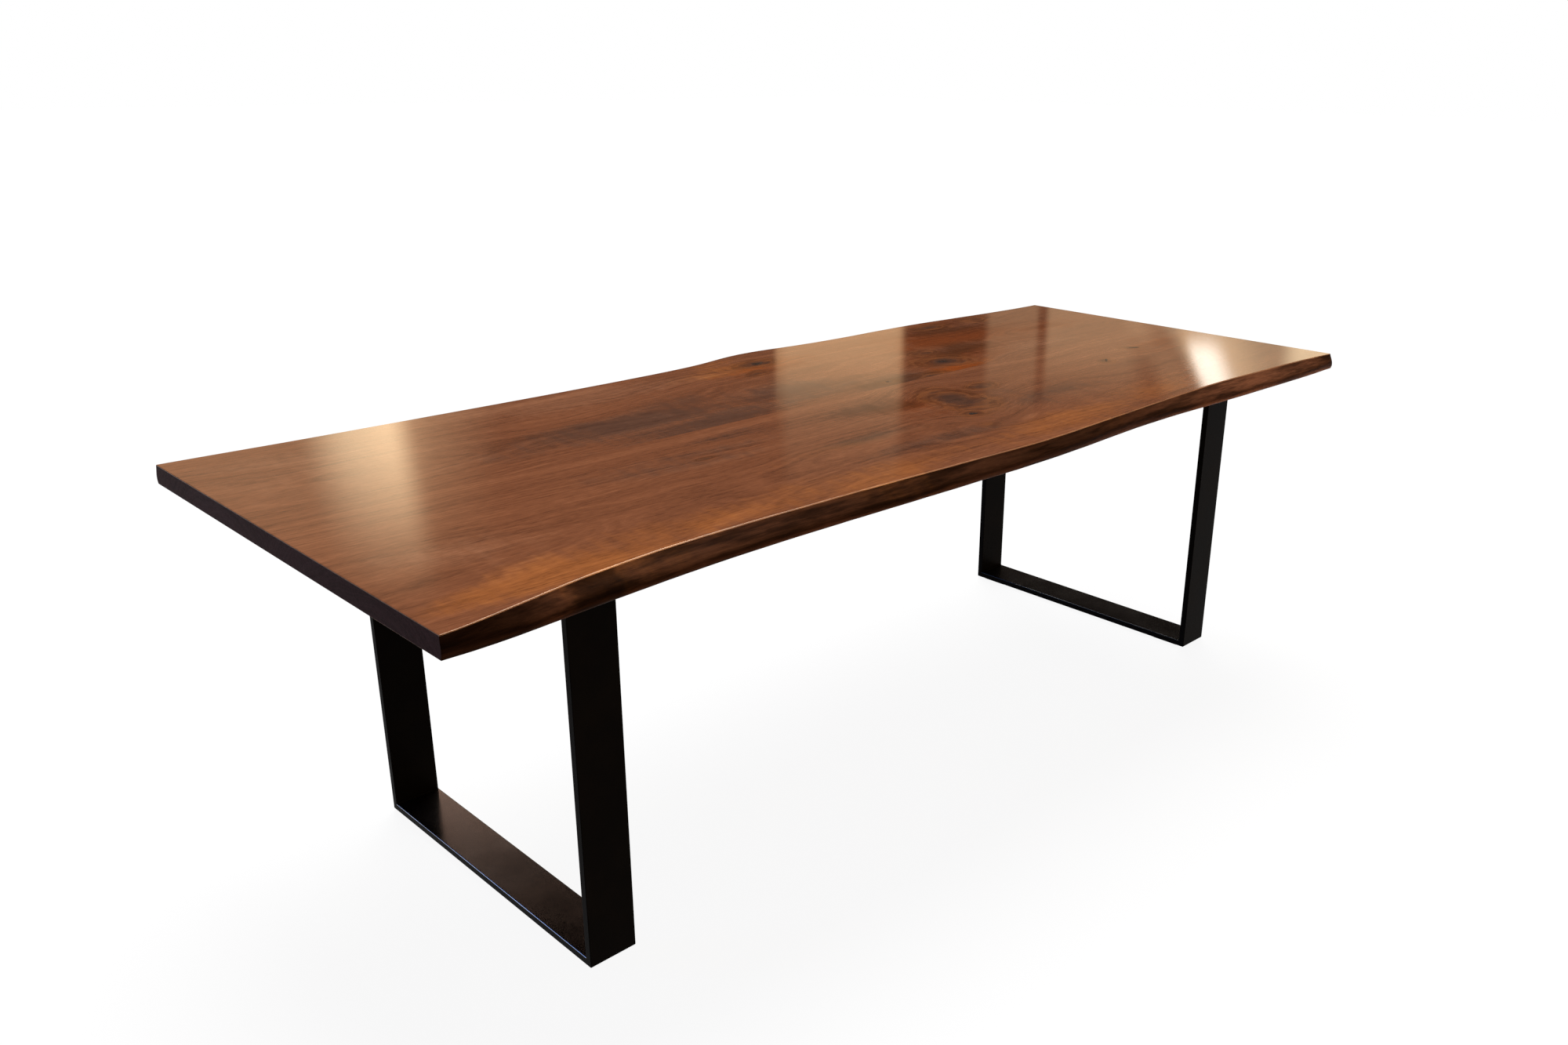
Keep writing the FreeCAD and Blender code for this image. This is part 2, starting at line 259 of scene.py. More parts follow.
# %% [markdown]
# ## Room and windows
# The lacquered top mirrors the room behind it: a dark room with tall windows, which show as upright
# bands across the wood. The windows could be lamps, but a lamp has hard edges and one brightness. Painted
# on the world, each window gets its own soft or hard edges and fades with height. A mirror rule places
# them: an upright thing shows on the top along the line from the camera to it. So each window is given by
# its compass bearing as the camera sees it, in degrees from +Y towards +X, and by its height in degrees.

# %% Paint one window
def between(wires, value, low, low_soft, high, high_soft):
    """1 between two limits and 0 outside them, with its own softness at each limit."""
    rise = wires.span(value, low - low_soft, low + low_soft)
    fall = wires.span(value, high - high_soft, high + high_soft, 1.0, 0.0)
    return wires.math("MULTIPLY", rise, fall)


def painted_window(wires, bearing, height, sides, ends, glow, colour, lean=0.0):
    """The light of one window. Lean tips it sideways as it goes up."""
    upright = wires.math("MULTIPLY_ADD", wires.math("SUBTRACT", height, ends[0]), -lean, bearing)
    shape = wires.math("MULTIPLY", between(wires, upright, *sides), between(wires, height, *ends))
    light = wires.math("MULTIPLY", shape, glow)
    return wires.vector("MULTIPLY", colour, light)


amber_day = (1.0, 0.64, 0.34)
warm_day = (1.0, 0.70, 0.41)
pale_day = (1.0, 0.82, 0.53)
clear_day = (0.97, 1.0, 0.97)
rosy_day = (1.0, 0.63, 0.47)
cool_day = (0.15, 0.36, 1.0)
# Sides are the left edge's bearing and softness, then the right edge's. Ends are the same for the height.
windows = [
    dict(sides=(21.8, 1.3, 24.9, 0.65), ends=(9.8, 1.0, 17.9, 4.2), lean=0.1, glow=1.9, colour=pale_day),
    dict(sides=(24.1, 1.0, 27.3, 2.6), ends=(9.2, 2.0, 18.6, 4.0), glow=0.72, colour=warm_day),
    dict(sides=(12.3, 3.0, 26.0, 0.9), ends=(9.2, 2.0, 20.2, 4.0), glow=0.43, colour=warm_day),
    dict(sides=(19.8, 2.0, 35.2, 3.0), ends=(26.1, 1.0, 28.2, 3.8), glow=10.5, colour=rosy_day),
    dict(sides=(41.65, 0.15, 47.3, 0.2), ends=(6.1, 1.0, 13.6, 2.0), glow=0.78, colour=amber_day),
    dict(sides=(42.0, 0.3, 47.2, 0.3), ends=(6.1, 1.0, 16.9, 2.5), glow=0.16, colour=pale_day),
    dict(sides=(51.0, 0.2, 53.2, 0.15), ends=(6.0, 1.0, 13.4, 2.0), glow=0.29, colour=warm_day),
    dict(sides=(53.6, 0.15, 57.7, 0.8), ends=(6.0, 1.0, 12.9, 1.8), glow=0.48, colour=warm_day),
    dict(sides=(56.9, 0.5, 58.3, 0.5), ends=(10.0, 0.5, 13.3, 1.0), lean=0.6, glow=0.34, colour=warm_day),
    dict(sides=(55.1, 0.3, 77.6, 5.0), ends=(5.8, 1.0, 13.8, 2.0), lean=0.75, glow=0.6, colour=pale_day),
    dict(sides=(59.1, 0.25, 61.7, 1.0), ends=(10.5, 0.5, 14.8, 1.0), lean=0.5, glow=0.70, colour=warm_day),
    dict(sides=(59.6, 0.2, 60.8, 0.5), ends=(11.15, 0.4, 14.8, 1.0), lean=0.5, glow=2.3, colour=clear_day),
    dict(sides=(63.8, 0.5, 71.4, 2.0), ends=(5.8, 1.0, 12.8, 0.5), glow=1.1, colour=pale_day),
    dict(sides=(-62.0, 4.0, -37.0, 4.0), ends=(10.0, 3.0, 30.0, 4.0), glow=3.8, colour=cool_day),
    dict(sides=(100.0, 8.0, 170.0, 8.0), ends=(8.0, 4.0, 40.0, 6.0), glow=0.65, colour=warm_day),
]
print(f"{len(windows)} windows planned")

# %% [markdown]
# The camera sees the room as the white wall of the sweep. Shiny steel sees white only near the horizon,
# where that wall is, and the dark room with its windows above it.

# %% Paint the room
room_colour = (0.030, 0.022, 0.018)
wall_top = 3.0  # height in degrees where the white wall ends

world = bpy.data.worlds.new("room")
world.use_nodes = True
bpy.context.scene.world = world
wires = Wiring(world.node_tree)
background = world.node_tree.nodes["Background"]
direction = wires.add("ShaderNodeTexCoord").outputs["Generated"]
x, y, z = wires.split(direction)
bearing = wires.math("DEGREES", wires.math("ARCTAN2", x, y))
height = wires.math("DEGREES", wires.math("ARCSINE", z))
light = room_colour
for window in windows:
    light = wires.vector("ADD", light, painted_window(wires, bearing, height, **window))
direct, shiny = seen_directly(wires)
on_wall = wires.math("LESS_THAN", height, wall_top)
sees_wall = wires.math("MAXIMUM", direct, wires.math("MULTIPLY", shiny, on_wall))
wires.feed(background.inputs["Color"], wires.mix(sees_wall, light, white))
print(f"room painted, white up to {wall_top} degrees")

# %% [markdown]
# ## Walnut figure
# A slab is sawn from a log, so its lines are the log's year rings, cut flat. The honest way to draw them
# is to rebuild the log: measure how far each point of the slab is from the pith, the log's middle, and
# colour it by that distance. The rings then run on round the edges and ends by themselves, as in real
# wood. Some things have their own place on this top: knots, dark stains and golden patches. Each starts as
# a soft oval spot, 1 in the middle and 0 at its rim.

# %% Soft spots
spot_depth = 0.3  # how far a spot reaches down into the wood


def soft_spot(wires, place, x, y, half_length, half_width, turn):
    """1 at a place on the top, falling to 0 at the rim of an oval round it."""
    inputs = {
        "Vector": place,
        "Location": (x, y, table_height),
        "Rotation": (0, 0, math.radians(turn)),
        "Scale": (half_length, half_width, spot_depth),
    }
    oval = wires.add("ShaderNodeMapping", inputs, vector_type="TEXTURE").outputs[0]
    return wires.add("ShaderNodeTexGradient", {0: oval}, gradient_type="SPHERICAL").outputs["Fac"]


def all_spots(wires, place, spots):
    """The strongest of many soft spots, each with its own strength."""
    total = 0.0
    for *oval, strength in spots:
        spot = wires.math("MULTIPLY", soft_spot(wires, place, *oval), strength)
        total = wires.math("MAXIMUM", total, spot)
    return total


def wandering(wires, place, stretch, reach):
    """The place, pushed about by noise, so that an outline drawn on it comes out uneven."""
    inputs = {"Vector": wires.vector("MULTIPLY", place, stretch), "Scale": 1.0, "Detail": 3.0}
    push = wires.add("ShaderNodeTexNoise", inputs).outputs["Color"]
    centred = wires.vector("SUBTRACT", push, (0.5, 0.5, 0.5))
    return wires.vector("MULTIPLY_ADD", centred, reach, place)


print("soft spots ready")

# %% [markdown]
# A knot is a branch that the trunk had to grow round, so the grain parts before it and closes behind it.
# Pulling every point near a knot towards the knot's own line does this: the few lines that would cross
# the knot spread out over it, and the rest crowd round its rim.

# %% Lead the grain round the knots
knot_reach = 1.9  # how far a knot bends the grain, as a share of its halo
knot_pull = 0.85
slow_wander = 0.12  # metres by which the rings stray over a long way
quick_wander = 0.018  # and over a short way


def parted_grain(wires, place, uneven, knots):
    """The place with its grain led round the knots, whose outlines are drawn on the uneven place."""
    x, y, z = wires.split(place)
    flow = y
    for knot_x, knot_y, half_length, half_width, turn, strength in knots:
        halves = (half_length * knot_reach, half_width * knot_reach)
        spot = soft_spot(wires, uneven, knot_x, knot_y, *halves, turn)
        pull = wires.span(spot, 0.0, 1.0, 0.0, knot_pull * strength)
        flow = wires.math("MULTIPLY_ADD", wires.math("SUBTRACT", knot_y, y), pull, flow)
    return wires.join(x, flow, z)


def ring_distance(wires, place, pith_y, pith_z):
    """How far a point is from the pith, with rings that wander as real ones do."""
    _, y, z = wires.split(place)
    slow = wires.stretched_noise(place, (0.9, 3.0, 3.0))
    quick = wires.stretched_noise(place, (4.0, 14.0, 14.0))
    wander = wires.math("MULTIPLY_ADD", slow, slow_wander, wires.math("MULTIPLY", quick, quick_wander))
    square = wires.math("POWER", wires.math("SUBTRACT", y, pith_y), 2.0)
    square = wires.math("ADD", square, wires.math("POWER", wires.math("SUBTRACT", z, pith_z), 2.0))
    return wires.math("ADD", wires.math("SQRT", square), wander)


print("grain lines ready")

# %% [markdown]
# The tone of the wood is a sum of layers that all follow these lines: broad bands of a few years, single
# rings, streaks, and fibres that are thinner than a hair and as long as a hand. A fine shimmer across the
# fibres is the silk that lacquer brings out. A colour ramp turns the tone into brown.

# %% Draw the layers of the grain
grain_detail = 3.0
grain_roughness = 0.6
fibre_pace = (14.0, 900.0)  # how often the fibres change along and across the grain
tone_stops = [
    (0.40, (0.140, 0.048, 0.0220)),
    (0.46, (0.225, 0.078, 0.0345)),
    (0.54, (0.300, 0.107, 0.0470)),
    (0.62, (0.405, 0.157, 0.0700)),
]


def along_grain(wires, place, along, across):
    """Noise stretched along the grain."""
    return wires.stretched_noise(place, (along, across, across), grain_detail, grain_roughness)


def along_rings(wires, x, radius, along, across, layer):
    """Noise that follows the rings."""
    spot = wires.join(wires.math("MULTIPLY", x, along), wires.math("MULTIPLY", radius, across), layer)
    return wires.noise(spot, grain_detail)


def grain_tone(wires, x, radius, place):
    """All the layers of the grain in one number, about 0.5."""
    layers = [
        (along_rings(wires, x, radius, 0.5, 30.0, 0.0), 0.24),
        (along_rings(wires, x, radius, 1.2, 120.0, 4.0), 0.09),
        (along_rings(wires, x, radius, 3.5, 300.0, 12.0), 0.22),
        (along_grain(wires, place, *fibre_pace), 0.27),
        (along_grain(wires, place, 42.0, 150.0), 0.18),
    ]
    tone = 0.0
    for layer, share in layers:
        tone = wires.math("MULTIPLY_ADD", layer, share, tone)
    return tone


print("grain layers ready")

# %% [markdown]
# The stains and golden patches are feathered by streaks, so that they fade along the grain like smoke. The
# knots come next, each with a rust-coloured halo and a dark heart. The pores, short dark scratches in the
# wood, come last. All of it goes into one node group for each slab, which every finish of that slab uses.

# %% Put the figure together
patch_share = 0.9
stain_tint = (0.50, 0.66, 0.92, 1.0)
golden_tint = (1.65, 1.55, 1.00, 1.0)
pale_tint = (1.28, 1.48, 1.65, 1.0)
rust_tint = (0.82, 0.50, 0.22, 1.0)
halo_dark = (0.115, 0.034, 0.0110, 1.0)
halo_bright = (0.300, 0.100, 0.0320, 1.0)
heart_colour = (0.085, 0.042, 0.0290, 1.0)
core_colour = (0.042, 0.023, 0.0165, 1.0)
flame_share = 0.5  # how strongly the figure across the grain shows in the smoke
smoke_break = 1.5  # how strongly the smoke breaks up a patch
heart_break = 0.9  # how strongly the streaks break up a knot's heart
whorl_rings = 9.0  # growth rings from a knot's rim to its middle
halo_share, heart_share, core_share = 0.6, 0.8, 0.7  # how far each colour of a knot hides the wood
pore_share = 0.28  # how far a pore's dark colour hides the wood
pore_depth = 0.8  # how deep the pores are, next to the fibres


def feathered(wires, spots, smoke):
    """Soft spots whose rims are broken up by smoke, as the share of another colour to mix in."""
    uneven = wires.pushed(spots, smoke, smoke_break)
    inside = wires.span(spots, 0.0, 0.25, 0.0, patch_share)
    return wires.math("MULTIPLY", wires.span(uneven, 0.1, 0.9), inside)


def knot_colours(wires, colour, nearness, place, streaks):
    """Adds rust-coloured halos with broken growth rings, and dark streaky hearts."""
    x, y, _ = wires.split(wires.vector("MULTIPLY", place, (14.0, 40.0, 1.0)))
    whorl = wires.noise(wires.join(wires.math("MULTIPLY", nearness, whorl_rings), x, y), grain_detail)
    halo = wires.mix(wires.span(whorl, 0.38, 0.62), halo_dark, halo_bright)
    colour = wires.mix(wires.span(nearness, 0.04, 0.36, 0.0, halo_share), colour, halo)
    heart = wires.pushed(nearness, streaks, heart_break)
    colour = wires.mix(wires.span(heart, 0.34, 0.76, 0.0, heart_share), colour, heart_colour)
    return wires.mix(wires.span(heart, 0.70, 1.0, 0.0, core_share), colour, core_colour)


def walnut_figure(name, pith_y, pith_z, knots, patches):
    """A node group that gives a slab's colour, and its grain for the bump."""
    tree = bpy.data.node_groups.new(name, "ShaderNodeTree")
    tree.interface.new_socket("Colour", in_out="OUTPUT", socket_type="NodeSocketColor")
    tree.interface.new_socket("Grain", in_out="OUTPUT", socket_type="NodeSocketFloat")
    wires = Wiring(tree)
    place = wires.add("ShaderNodeTexCoord").outputs["Object"]
    uneven = wandering(wires, place, stretch=(9.0, 16.0, 16.0), reach=(0.07, 0.05, 0.0))
    flow = parted_grain(wires, place, uneven, knots)
    x, _, _ = wires.split(place)
    radius = ring_distance(wires, flow, pith_y, pith_z)

    colour = wires.ramp(grain_tone(wires, x, radius, flow), tone_stops)
    flame = along_grain(wires, place, along=48.0, across=14.0)
    smoke = along_rings(wires, x, radius, along=2.2, across=26.0, layer=8.0)
    smoke = wires.pushed(smoke, flame, flame_share)
    drift = wandering(wires, place, stretch=(2.5, 6.0, 6.0), reach=(0.25, 0.10, 0.0))
    for spots, tint in patches:
        share = feathered(wires, all_spots(wires, drift, spots), smoke)
        colour = wires.mix(share, colour, tint, "MULTIPLY")
    streaks = along_rings(wires, x, radius, along=6.0, across=130.0, layer=16.0)
    colour = knot_colours(wires, colour, all_spots(wires, uneven, knots), place, streaks)
    fibres = along_grain(wires, place, *fibre_pace)
    pores = wires.span(along_grain(wires, place, along=55.0, across=800.0), 0.62, 0.72)
    colour = wires.mix(wires.math("MULTIPLY", pores, pore_share), colour, core_colour)
    grain = wires.math("SUBTRACT", fibres, wires.math("MULTIPLY", pores, pore_depth))
    wires.add("NodeGroupOutput", {"Colour": colour, "Grain": grain})
    return tree


print("figure ready")

# %% [markdown]
# Each knot and patch is given by its place along and across the top, its half length and half width, its
# turn in degrees and its strength. A knot's oval is its halo, and its heart is half as large.

# %% Place the knots
rear_knots = [
    (0.091, 0.406, 0.100, 0.055, 8, 0.8),
    (0.017, 0.318, 0.070, 0.035, 10, 0.6),
    (0.189, 0.058, 0.030, 0.016, 20, 0.9),
    (0.448, 0.114, 0.130, 0.075, -14, 0.8),
    (0.482, 0.214, 0.080, 0.050, 20, 0.65),
    (0.315, 0.027, 0.080, 0.050, 0, 0.6),
    (0.751, 0.425, 0.100, 0.055, 0, 0.7),
    (0.946, 0.419, 0.100, 0.055, 0, 0.65),
]
front_knots = [
    (0.182, -0.166, 0.110, 0.160, -12, 0.9),
    (0.111, -0.267, 0.070, 0.050, -10, 0.55),
    (0.322, -0.114, 0.065, 0.060, 15, 0.8),
    (0.760, -0.156, 0.055, 0.024, 38, 0.8),
    (0.946, -0.117, 0.055, 0.024, -32, 0.8),
    (0.068, -0.348, 0.060, 0.035, 0, 0.35),
    (-0.514, -0.144, 0.024, 0.014, 0, 0.7),
]
print(f"{len(rear_knots) + len(front_knots)} knots placed")

# %% [markdown]
# Four kinds of patch lie over each other. Rust patches are the red heart of the log, golden ones show
# where the grain turns up to the light, and pale ones where the wood has faded. Dark stains come last.
# Each slab then gets its figure, drawn round its own pith.

# %% Place the patches
rear_stains = [
    (-0.480, 0.130, 0.44, 0.14, 3, 1.0),
    (-0.240, 0.235, 0.26, 0.11, 12, 0.6),
    (-0.300, 0.080, 0.42, 0.12, 3, 0.95),
    (-0.037, 0.140, 0.34, 0.15, 8, 1.0),
    (0.179, 0.043, 0.20, 0.11, 10, 1.0),
    (0.809, 0.390, 0.26, 0.13, 0, 0.8),
    (0.559, 0.174, 0.20, 0.12, 10, 0.95),
]
front_stains = [
    (0.009, -0.099, 0.22, 0.10, 0, 0.8),
    (-0.110, -0.354, 0.28, 0.06, 2, 0.7),
    (-0.200, -0.248, 0.22, 0.05, 0, 0.7),
    (-0.379, -0.049, 0.26, 0.08, 0, 0.5),
    (-0.533, -0.125, 0.34, 0.08, 0, 0.5),
    (0.244, -0.187, 0.26, 0.14, 8, 0.5),
    (0.422, -0.265, 0.24, 0.14, 0, 0.5),
    (0.787, -0.209, 0.16, 0.09, 0, 0.3),
]
rear_pale = [
    (-1.013, 0.288, 0.45, 0.30, 0, 0.55),
    (-0.480, 0.410, 0.52, 0.14, 0, 1.0),
    (0.726, 0.068, 0.40, 0.10, 0, 0.50),
]
front_pale = [(-1.120, -0.290, 0.26, 0.15, 0, 0.5)]
rear_golden = [
    (0.410, 0.042, 0.20, 0.07, 0, 0.8),
    (-0.024, 0.420, 0.26, 0.10, 0, 0.75),
]
front_golden = [
    (-0.996, -0.457, 0.32, 0.10, 4, 1.0),
    (-0.713, -0.415, 0.45, 0.10, 0, 0.9),
    (-0.277, -0.262, 0.42, 0.06, 0, 0.3),
    (-0.273, -0.446, 0.55, 0.09, 0, 0.65),
    (0.137, -0.448, 0.50, 0.10, 0, 0.65),
    (0.603, -0.430, 0.50, 0.12, 0, 0.4),
]
rear_rust = [
    (0.717, 0.296, 0.50, 0.22, -8, 1.0),
    (0.073, 0.337, 0.26, 0.13, 10, 0.5),
    (0.522, 0.146, 0.30, 0.15, 6, 1.0),
    (0.160, 0.043, 0.22, 0.11, 0, 0.5),
    (0.410, 0.050, 0.22, 0.12, 0, 0.85),
    (0.800, 0.420, 0.25, 0.15, 0, 1.0),
]
front_rust = [
    (0.068, -0.129, 0.30, 0.13, 0, 0.8),
    (1.073, -0.143, 0.26, 0.20, 0, 0.6),
]


def tinted_patches(rust, golden, pale, stains):
    """The patches of one slab in the order in which they are laid over each other."""
    return [(rust, rust_tint), (golden, golden_tint), (pale, pale_tint), (stains, stain_tint)]


rear_pith = (0.22, 0.50)  # place across the table and height
front_pith = (-0.33, 0.46)
rear_patches = tinted_patches(rear_rust, rear_golden, rear_pale, rear_stains)
front_patches = tinted_patches(front_rust, front_golden, front_pale, front_stains)
figures = {
    "rear_slab": walnut_figure("rear_figure", *rear_pith, rear_knots, rear_patches),
    "front_slab": walnut_figure("front_figure", *front_pith, front_knots, front_patches),
}
print("figures:", ", ".join(tree.name for tree in figures.values()))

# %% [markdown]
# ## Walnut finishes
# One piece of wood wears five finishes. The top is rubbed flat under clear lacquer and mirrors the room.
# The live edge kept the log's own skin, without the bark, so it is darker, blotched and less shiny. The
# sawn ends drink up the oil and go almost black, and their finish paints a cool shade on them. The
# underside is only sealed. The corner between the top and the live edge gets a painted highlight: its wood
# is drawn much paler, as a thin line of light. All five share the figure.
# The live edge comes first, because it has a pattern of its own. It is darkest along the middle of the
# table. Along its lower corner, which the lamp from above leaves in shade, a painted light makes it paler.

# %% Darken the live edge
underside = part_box("front_slab")[0].z
edge_tones = [(-1.26, 0.75), (-0.8, 0.46), (0.1, 0.38), (0.5, 0.75), (0.85, 1.1)]  # place and tone
rim_painted_light = 3.2  # how much the painted light brightens the lower rim
painted_light_rim_heights = (underside + 0.004, underside + 0.014)  # where the painted light on the rim starts to fade and ends
cloudy = (4.0, 0.6)  # detail and roughness of a noise that looks like clouds


def tone_along(wires, x):
    """How light the live edge is along the table."""
    tone = edge_tones[0][1]
    for (start, first), (end, last) in zip(edge_tones, edge_tones[1:]):
        tone = wires.math("ADD", tone, wires.span(x, start, end, 0.0, last - first))
    return tone


def edge_mottle(wires, place, colour, darks):
    """The live edge's dark streaks, the places where it is dark all over, and painted light along its
    lower rim.
    """
    x, _, z = wires.split(place)
    # painted light: the lower rim is drawn paler to make up for the shade there
    rim = wires.span(z, *painted_light_rim_heights, rim_painted_light, 1.0)
    tone_and_rim_light = wires.math("MULTIPLY", tone_along(wires, x), rim)
    clouds = wires.stretched_noise(place, (5.0, 30.0, 70.0), *cloudy)
    streaks = wires.span(clouds, 0.36, 0.60, 0.35, 1.1)
    uneven = wandering(wires, place, stretch=(12.0, 12.0, 30.0), reach=(0.12, 0.0, 0.0))
    dark = wires.span(all_spots(wires, uneven, darks), 0.0, 0.5, 1.0, 0.25)
    shade = wires.math("MULTIPLY", wires.math("MULTIPLY", streaks, dark), tone_and_rim_light)
    return wires.mix(1.0, colour, wires.join(shade, shade, shade), "MULTIPLY")


front_darks = [
    (-1.215, -0.52, 0.16, 0.3, 0, 1.0),
    (-1.000, -0.52, 0.07, 0.3, 0, 1.0),
    (0.150, -0.52, 0.22, 0.3, 0, 0.15),
]
rear_darks = [
    (-0.700, 0.52, 0.25, 0.3, 0, 0.7),
    (0.300, 0.52, 0.16, 0.3, 0, 0.9),
    (1.050, 0.52, 0.14, 0.3, 0, 0.8),
]
live_edge_darks = {"front_slab": front_darks, "rear_slab": rear_darks}
print("live edge pattern ready")

# %% [markdown]
# What tells the finishes apart is a tint, the roughness, the gloss and how deep the grain stands open. The
# roughness also follows the grain a little, because lacquer sinks into the softer wood between the fibres.

# %% Make the five finishes
lacquer_tint = (1.0, 0.78, 0.52, 1.0)
grain_depth = 0.0004
shine_change = 0.15  # the share by which the grain changes the roughness


def add_bump(wires, shader, height, strength, depth):
    """Bends the light as if the surface rose and fell."""
    inputs = {"Strength": strength, "Distance": depth, "Height": height}
    wires.feed(shader.inputs["Normal"], wires.add("ShaderNodeBump", inputs).outputs[0])


def walnut_finish(name, figure, tint, roughness, gloss, bump, edge_darks):
    """Walnut under a clear finish. A live edge also gets its dark places."""
    finish, wires, shader, place = new_finish(name)
    wood = wires.add("ShaderNodeGroup", node_tree=figure)
    colour = wires.mix(1.0, wood.outputs["Colour"], (*tint, 1.0), "MULTIPLY")
    if edge_darks:
        colour = edge_mottle(wires, place, colour, edge_darks)
    wires.feed(shader.inputs["Base Color"], colour)
    least, most = roughness * (1 - shine_change), roughness * (1 + shine_change)
    wires.feed(shader.inputs["Roughness"], wires.span(wood.outputs["Grain"], 0.2, 0.8, most, least))
    shader.inputs["Specular IOR Level"].default_value = gloss
    shader.inputs["Specular Tint"].default_value = lacquer_tint
    add_bump(wires, shader, wood.outputs["Grain"], bump, grain_depth)
    return finish


# Name, tint, roughness, gloss and bump.
walnut_looks = [
    ("lacquered_top", (1.0, 1.0, 1.0), 0.05, 0.5, 0.015),
    ("live_edge", (0.90, 0.93, 0.98), 0.38, 0.015, 0.25),
    # the sawn end's blue tint darkens the end grain and paints a cool shade on it
    ("sawn_end", (0.40, 0.48, 0.90), 0.5, 0.010, 0.4),
    ("sealed_underside", (0.75, 0.75, 0.75), 0.5, 0.2, 0.3),
    # the corner's pale tint is a painted highlight along the top's edge
    ("sanded_corner", (1.7, 2.0, 2.0), 0.3, 0.5, 0.1),
]
top_face, live_face, end_face, under_face, painted_highlight_face = range(len(walnut_looks))


def slab_finishes(slab):
    """A slab's finishes, in the order of the list."""
    finishes = []
    for name, *look in walnut_looks:
        darks = live_edge_darks[slab] if name == "live_edge" else None
        finishes.append(walnut_finish(f"{slab}_{name}", figures[slab], *look, darks))
    return finishes


print("five finishes for each slab")

# %% [markdown]
# ## Slabs
# The solids hold the live edges as smooth faces. The real edge has small ripples, and its corners are
# sanded round, so light catches on them. One could bevel and sculpt the solid's mesh, but its triangles
# are long and uneven. Instead the slab is swept anew: the solid is probed with rays at even steps along
# the table, each probe gives one cross-section, and the sections are skinned together.

# %% Probe the live edge
corner_radius = 0.0016
low_corner_steps = 4
edge_steps = 9
top_corner_steps = 5
plug_stand = 0.00015  # the flush knot fills stand this little above the lacquer
slab_top = table_height - plug_stand
length_from, length_to = cad_box[0][0], cad_box[1][0]
probe_start = 1.0  # where a ray starts, well outside the slab
end_margin = 0.0005  # how far a ray keeps inside the sawn ends
face_margin = 0.0002  # and inside the top and the underside
smooth_places = [step * 0.012 for step in (-2, -1, 0, 1, 2)]  # a probe is the mean of these rays
ripple_depth = 0.0012
broad_ripples = (11.0, 20.0, 7.3)  # pace along and up the edge, and a shift for each side
small_ripples = (38.0, 70.0, 3.1)
broad_share, small_share = 0.7, 0.3


def section_heights():
    """Heights above the underside for a section's edge points, each with its inset at a round corner."""
    points = []
    for n in range(low_corner_steps):
        angle = math.pi / 2 * n / low_corner_steps
        points.append((corner_radius * (1 - math.cos(angle)), corner_radius * (1 - math.sin(angle))))
    thickness = slab_top - underside
    for n in range(edge_steps + 1):
        points.append((corner_radius + (thickness - 2 * corner_radius) * n / edge_steps, 0.0))
    for n in range(1, top_corner_steps + 1):
        angle = math.pi / 2 * n / top_corner_steps
        height = thickness - corner_radius * (1 - math.sin(angle))
        points.append((height, corner_radius * (1 - math.cos(angle))))
    return points


def live_edge_probe(node, side):
    """A function that gives how far the live edge is from the middle at a place and height."""
    mesh = cad_nodes[node].data
    skin = BVHTree.FromPolygons([v.co for v in mesh.vertices], [p.vertices for p in mesh.polygons])
    outside = Vector((0, side * probe_start, 0))

    def reach(x, z):
        x = min(max(x, length_from + end_margin), length_to - end_margin)
        z = min(max(z, underside + face_margin), table_height - face_margin)
        hit = skin.ray_cast(Vector((x, 0, z)) + outside, -outside)[0]
        return abs(hit.y)

    def smooth_reach(x, z):
        return sum(reach(x + offset, z) for offset in smooth_places) / len(smooth_places)

    return smooth_reach


def dents(x, height, side, ripples):
    """A soft noise on the live edge, between -1 and 1."""
    along, up, shift = ripples
    return noise.noise(Vector((x * along, height * up, side * shift)))


def ripple(x, height, side):
    """Small dents in the live edge, always inward."""
    broad = dents(x, height, side, broad_ripples)
    small = dents(x, height, side, small_ripples)
    return ripple_depth * (1 + broad_share * broad + small_share * small)


print(f"{len(section_heights())} points on each section's edge")

# %% [markdown]
# At each sawn end a few extra sections, each a little smaller than the last, round off the saw's sharp
# corner. The seam gets no such rounding, because the two slabs were glued before the top was sanded.

# %% Lay out the sections
station_step = 0.008
end_radius = 0.0012
end_steps = 3
seam_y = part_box("front_slab")[1].y


def stations():
    """Places along the table, each with how much the section shrinks there to round the sawn ends."""
    places = []
    for n in range(end_steps + 1):
        angle = math.pi / 2 * n / end_steps
        along = end_radius * (1 - math.cos(angle))
        places.append((length_from + along, end_radius * (1 - math.sin(angle))))
    first_end = list(places)
    run = length_to - length_from - 2 * end_radius
    count = round(run / station_step)
    places += [(length_from + end_radius + run * n / count, 0.0) for n in range(1, count)]
    places += [(length_to + length_from - x, shrink) for x, shrink in reversed(first_end)]
    return places


def section(reach, side, x, shrink):
    """The outline at one station, from the seam along the underside, over the live edge and back."""
    middle = (underside + slab_top) / 2
    squeeze = 1 - 2 * shrink / (slab_top - underside)
    outline = []
    for height, inset in section_heights():
        y = reach(x, underside + height) - inset - ripple(x, height, side) - shrink
        z = middle + (underside + height - middle) * squeeze
        outline.append(Vector((x, side * y, z)))
    first, last = outline[0], outline[-1]
    return [Vector((x, seam_y, first.z)), *outline, Vector((x, seam_y, last.z))]


print(f"{len(stations())} sections along each slab")

# %% [markdown]
# Neighbouring sections are joined by a row of faces, and the first and last section become the sawn ends.
# Each face takes the finish of its place round the section. The live edge and its corners are shaded
# smooth, and the flat faces are left flat.

# %% Skin the sections
def finish_of_face(n, count):
    """The place of the finish for the n-th of the faces round a section."""
    if n in (0, count - 1):
        return under_face
    if n == count - 2:
        return top_face
    return painted_highlight_face if n >= count - 2 - top_corner_steps else live_face


def as_object(shape, name):
    """Turns an edited shape into a mesh object."""
    mesh = bpy.data.meshes.new(name)
    shape.to_mesh(mesh)
    shape.free()
    return add_object(name, mesh)


